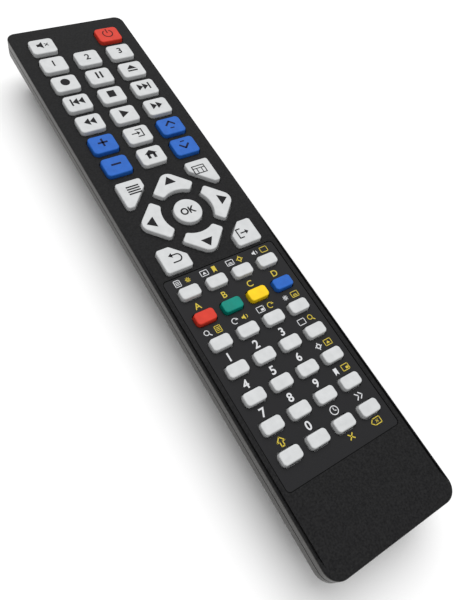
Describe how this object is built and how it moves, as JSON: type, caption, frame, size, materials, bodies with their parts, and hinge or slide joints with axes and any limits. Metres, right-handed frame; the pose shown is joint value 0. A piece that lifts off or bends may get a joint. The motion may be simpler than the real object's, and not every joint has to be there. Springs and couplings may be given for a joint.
{
  "type": "remote control",
  "caption": "Slim handheld infrared remote control with sprung rubber keys, a direction pad, a printed number field and a sliding battery cover.",
  "frame": {"origin": "centre of the flat underside", "axes": "+Z out of the key face, +Y towards the infrared end, +X to the right with the keys facing the reader"},
  "size_m": [0.0486, 0.2218, 0.021],
  "materials": {
    "case_plastic": "fine moulded texture, satin sides",
    "cover_plastic": "fine moulded texture",
    "legend_plastic": "printed sheet, matte",
    "key_grey": "light grey silicone, soft satin",
    "key_red": "red silicone, soft satin",
    "key_green": "green silicone, soft satin",
    "key_yellow": "yellow silicone, soft satin",
    "key_blue": "blue silicone, soft satin",
    "keypad_rubber": "thin moulded silicone",
    "board": "green solder mask",
    "component": "moulded black",
    "led_epoxy": "smoked clear epoxy",
    "window_plastic": "dark red, polished",
    "cell_wrap": "plain printed sleeve",
    "spring_steel": "nickel plated",
    "contact_steel": "nickel plated",
    "screw_steel": "black zinc plated"
  },
  "bodies": {
    "housing": {"top_shell": "case_plastic", "bottom_shell": "case_plastic", "legend_sheet": "legend_plastic", "keypad_sheet": "keypad_rubber", "circuit_board": "board", "board_components": "component", "ir_led": "led_epoxy", "ir_window": "window_plastic", "battery_cells": "cell_wrap", "battery_springs": "spring_steel", "contact_plates": "contact_steel", "case_screws": "screw_steel"},
    "battery_cover": {"battery_cover": "cover_plastic"},
    "mute_key": {"mute_key": "key_grey"},
    "power_key": {"power_key": "key_red"},
    "mode_one_key": {"mode_one_key": "key_grey"},
    "mode_two_key": {"mode_two_key": "key_grey"},
    "mode_three_key": {"mode_three_key": "key_grey"},
    "record_key": {"record_key": "key_grey"},
    "pause_key": {"pause_key": "key_grey"},
    "eject_key": {"eject_key": "key_grey"},
    "skip_back_key": {"skip_back_key": "key_grey"},
    "stop_key": {"stop_key": "key_grey"},
    "skip_forward_key": {"skip_forward_key": "key_grey"},
    "rewind_key": {"rewind_key": "key_grey"},
    "play_key": {"play_key": "key_grey"},
    "fast_forward_key": {"fast_forward_key": "key_grey"},
    "volume_up_key": {"volume_up_key": "key_blue"},
    "input_key": {"input_key": "key_grey"},
    "channel_up_key": {"channel_up_key": "key_blue"},
    "volume_down_key": {"volume_down_key": "key_blue"},
    "home_key": {"home_key": "key_grey"},
    "channel_down_key": {"channel_down_key": "key_blue"},
    "up_key": {"up_key": "key_grey"},
    "left_key": {"left_key": "key_grey"},
    "down_key": {"down_key": "key_grey"},
    "right_key": {"right_key": "key_grey"},
    "menu_key": {"menu_key": "key_grey"},
    "guide_key": {"guide_key": "key_grey"},
    "return_key": {"return_key": "key_grey"},
    "exit_key": {"exit_key": "key_grey"},
    "centre_key": {"centre_key": "key_grey"},
    "red_key": {"red_key": "key_red"},
    "green_key": {"green_key": "key_green"},
    "yellow_key": {"yellow_key": "key_yellow"},
    "blue_key": {"blue_key": "key_blue"},
    "digit_0_key": {"digit_0_key": "key_grey"},
    "digit_1_key": {"digit_1_key": "key_grey"},
    "digit_2_key": {"digit_2_key": "key_grey"},
    "digit_3_key": {"digit_3_key": "key_grey"},
    "digit_4_key": {"digit_4_key": "key_grey"},
    "digit_5_key": {"digit_5_key": "key_grey"},
    "digit_6_key": {"digit_6_key": "key_grey"},
    "digit_7_key": {"digit_7_key": "key_grey"},
    "digit_8_key": {"digit_8_key": "key_grey"},
    "digit_9_key": {"digit_9_key": "key_grey"},
    "disc_row_keys": {"disc_row_keys": "key_grey"},
    "search_row_keys": {"search_row_keys": "key_grey"},
    "side_column_keys": {"side_column_keys": "key_grey"},
    "bottom_row_keys": {"bottom_row_keys": "key_grey"}
  },
  "joints": [
    {"name": "battery_cover_slide", "type": "slide", "parent": "housing", "child": "battery_cover", "axis": [0, -1, 0], "range_m": [0, 0.06]},
    {"name": "mute_key_press", "type": "slide", "parent": "housing", "child": "mute_key", "axis": [0, 0, -1], "range_m": [0, 0.0008], "stiffness_N_per_m": 1500},
    {"name": "power_key_press", "type": "slide", "parent": "housing", "child": "power_key", "axis": [0, 0, -1], "range_m": [0, 0.0008], "stiffness_N_per_m": 1500},
    {"name": "mode_one_key_press", "type": "slide", "parent": "housing", "child": "mode_one_key", "axis": [0, 0, -1], "range_m": [0, 0.0008], "stiffness_N_per_m": 1500},
    {"name": "mode_two_key_press", "type": "slide", "parent": "housing", "child": "mode_two_key", "axis": [0, 0, -1], "range_m": [0, 0.0008], "stiffness_N_per_m": 1500},
    {"name": "mode_three_key_press", "type": "slide", "parent": "housing", "child": "mode_three_key", "axis": [0, 0, -1], "range_m": [0, 0.0008], "stiffness_N_per_m": 1500},
    {"name": "record_key_press", "type": "slide", "parent": "housing", "child": "record_key", "axis": [0, 0, -1], "range_m": [0, 0.0008], "stiffness_N_per_m": 1500},
    {"name": "pause_key_press", "type": "slide", "parent": "housing", "child": "pause_key", "axis": [0, 0, -1], "range_m": [0, 0.0008], "stiffness_N_per_m": 1500},
    {"name": "eject_key_press", "type": "slide", "parent": "housing", "child": "eject_key", "axis": [0, 0, -1], "range_m": [0, 0.0008], "stiffness_N_per_m": 1500},
    {"name": "skip_back_key_press", "type": "slide", "parent": "housing", "child": "skip_back_key", "axis": [0, 0, -1], "range_m": [0, 0.0008], "stiffness_N_per_m": 1500},
    {"name": "stop_key_press", "type": "slide", "parent": "housing", "child": "stop_key", "axis": [0, 0, -1], "range_m": [0, 0.0008], "stiffness_N_per_m": 1500},
    {"name": "skip_forward_key_press", "type": "slide", "parent": "housing", "child": "skip_forward_key", "axis": [0, 0, -1], "range_m": [0, 0.0008], "stiffness_N_per_m": 1500},
    {"name": "rewind_key_press", "type": "slide", "parent": "housing", "child": "rewind_key", "axis": [0, 0, -1], "range_m": [0, 0.0008], "stiffness_N_per_m": 1500},
    {"name": "play_key_press", "type": "slide", "parent": "housing", "child": "play_key", "axis": [0, 0, -1], "range_m": [0, 0.0008], "stiffness_N_per_m": 1500},
    {"name": "fast_forward_key_press", "type": "slide", "parent": "housing", "child": "fast_forward_key", "axis": [0, 0, -1], "range_m": [0, 0.0008], "stiffness_N_per_m": 1500},
    {"name": "volume_up_key_press", "type": "slide", "parent": "housing", "child": "volume_up_key", "axis": [0, 0, -1], "range_m": [0, 0.0008], "stiffness_N_per_m": 1500},
    {"name": "input_key_press", "type": "slide", "parent": "housing", "child": "input_key", "axis": [0, 0, -1], "range_m": [0, 0.0008], "stiffness_N_per_m": 1500},
    {"name": "channel_up_key_press", "type": "slide", "parent": "housing", "child": "channel_up_key", "axis": [0, 0, -1], "range_m": [0, 0.0008], "stiffness_N_per_m": 1500},
    {"name": "volume_down_key_press", "type": "slide", "parent": "housing", "child": "volume_down_key", "axis": [0, 0, -1], "range_m": [0, 0.0008], "stiffness_N_per_m": 1500},
    {"name": "home_key_press", "type": "slide", "parent": "housing", "child": "home_key", "axis": [0, 0, -1], "range_m": [0, 0.0008], "stiffness_N_per_m": 1500},
    {"name": "channel_down_key_press", "type": "slide", "parent": "housing", "child": "channel_down_key", "axis": [0, 0, -1], "range_m": [0, 0.0008], "stiffness_N_per_m": 1500},
    {"name": "up_key_press", "type": "slide", "parent": "housing", "child": "up_key", "axis": [0, 0, -1], "range_m": [0, 0.0008], "stiffness_N_per_m": 1500},
    {"name": "left_key_press", "type": "slide", "parent": "housing", "child": "left_key", "axis": [0, 0, -1], "range_m": [0, 0.0008], "stiffness_N_per_m": 1500},
    {"name": "down_key_press", "type": "slide", "parent": "housing", "child": "down_key", "axis": [0, 0, -1], "range_m": [0, 0.0008], "stiffness_N_per_m": 1500},
    {"name": "right_key_press", "type": "slide", "parent": "housing", "child": "right_key", "axis": [0, 0, -1], "range_m": [0, 0.0008], "stiffness_N_per_m": 1500},
    {"name": "menu_key_press", "type": "slide", "parent": "housing", "child": "menu_key", "axis": [0, 0, -1], "range_m": [0, 0.0008], "stiffness_N_per_m": 1500},
    {"name": "guide_key_press", "type": "slide", "parent": "housing", "child": "guide_key", "axis": [0, 0, -1], "range_m": [0, 0.0008], "stiffness_N_per_m": 1500},
    {"name": "return_key_press", "type": "slide", "parent": "housing", "child": "return_key", "axis": [0, 0, -1], "range_m": [0, 0.0008], "stiffness_N_per_m": 1500},
    {"name": "exit_key_press", "type": "slide", "parent": "housing", "child": "exit_key", "axis": [0, 0, -1], "range_m": [0, 0.0008], "stiffness_N_per_m": 1500},
    {"name": "centre_key_press", "type": "slide", "parent": "housing", "child": "centre_key", "axis": [0, 0, -1], "range_m": [0, 0.0008], "stiffness_N_per_m": 1500},
    {"name": "red_key_press", "type": "slide", "parent": "housing", "child": "red_key", "axis": [0, 0, -1], "range_m": [0, 0.0008], "stiffness_N_per_m": 1500},
    {"name": "green_key_press", "type": "slide", "parent": "housing", "child": "green_key", "axis": [0, 0, -1], "range_m": [0, 0.0008], "stiffness_N_per_m": 1500},
    {"name": "yellow_key_press", "type": "slide", "parent": "housing", "child": "yellow_key", "axis": [0, 0, -1], "range_m": [0, 0.0008], "stiffness_N_per_m": 1500},
    {"name": "blue_key_press", "type": "slide", "parent": "housing", "child": "blue_key", "axis": [0, 0, -1], "range_m": [0, 0.0008], "stiffness_N_per_m": 1500},
    {"name": "digit_0_key_press", "type": "slide", "parent": "housing", "child": "digit_0_key", "axis": [0, 0, -1], "range_m": [0, 0.0008], "stiffness_N_per_m": 1500},
    {"name": "digit_1_key_press", "type": "slide", "parent": "housing", "child": "digit_1_key", "axis": [0, 0, -1], "range_m": [0, 0.0008], "stiffness_N_per_m": 1500},
    {"name": "digit_2_key_press", "type": "slide", "parent": "housing", "child": "digit_2_key", "axis": [0, 0, -1], "range_m": [0, 0.0008], "stiffness_N_per_m": 1500},
    {"name": "digit_3_key_press", "type": "slide", "parent": "housing", "child": "digit_3_key", "axis": [0, 0, -1], "range_m": [0, 0.0008], "stiffness_N_per_m": 1500},
    {"name": "digit_4_key_press", "type": "slide", "parent": "housing", "child": "digit_4_key", "axis": [0, 0, -1], "range_m": [0, 0.0008], "stiffness_N_per_m": 1500},
    {"name": "digit_5_key_press", "type": "slide", "parent": "housing", "child": "digit_5_key", "axis": [0, 0, -1], "range_m": [0, 0.0008], "stiffness_N_per_m": 1500},
    {"name": "digit_6_key_press", "type": "slide", "parent": "housing", "child": "digit_6_key", "axis": [0, 0, -1], "range_m": [0, 0.0008], "stiffness_N_per_m": 1500},
    {"name": "digit_7_key_press", "type": "slide", "parent": "housing", "child": "digit_7_key", "axis": [0, 0, -1], "range_m": [0, 0.0008], "stiffness_N_per_m": 1500},
    {"name": "digit_8_key_press", "type": "slide", "parent": "housing", "child": "digit_8_key", "axis": [0, 0, -1], "range_m": [0, 0.0008], "stiffness_N_per_m": 1500},
    {"name": "digit_9_key_press", "type": "slide", "parent": "housing", "child": "digit_9_key", "axis": [0, 0, -1], "range_m": [0, 0.0008], "stiffness_N_per_m": 1500},
    {"name": "disc_row_keys_press", "type": "slide", "parent": "housing", "child": "disc_row_keys", "axis": [0, 0, -1], "range_m": [0, 0.0008], "stiffness_N_per_m": 6000},
    {"name": "search_row_keys_press", "type": "slide", "parent": "housing", "child": "search_row_keys", "axis": [0, 0, -1], "range_m": [0, 0.0008], "stiffness_N_per_m": 6000},
    {"name": "side_column_keys_press", "type": "slide", "parent": "housing", "child": "side_column_keys", "axis": [0, 0, -1], "range_m": [0, 0.0008], "stiffness_N_per_m": 4500},
    {"name": "bottom_row_keys_press", "type": "slide", "parent": "housing", "child": "bottom_row_keys", "axis": [0, 0, -1], "range_m": [0, 0.0008], "stiffness_N_per_m": 4500}
  ]
}
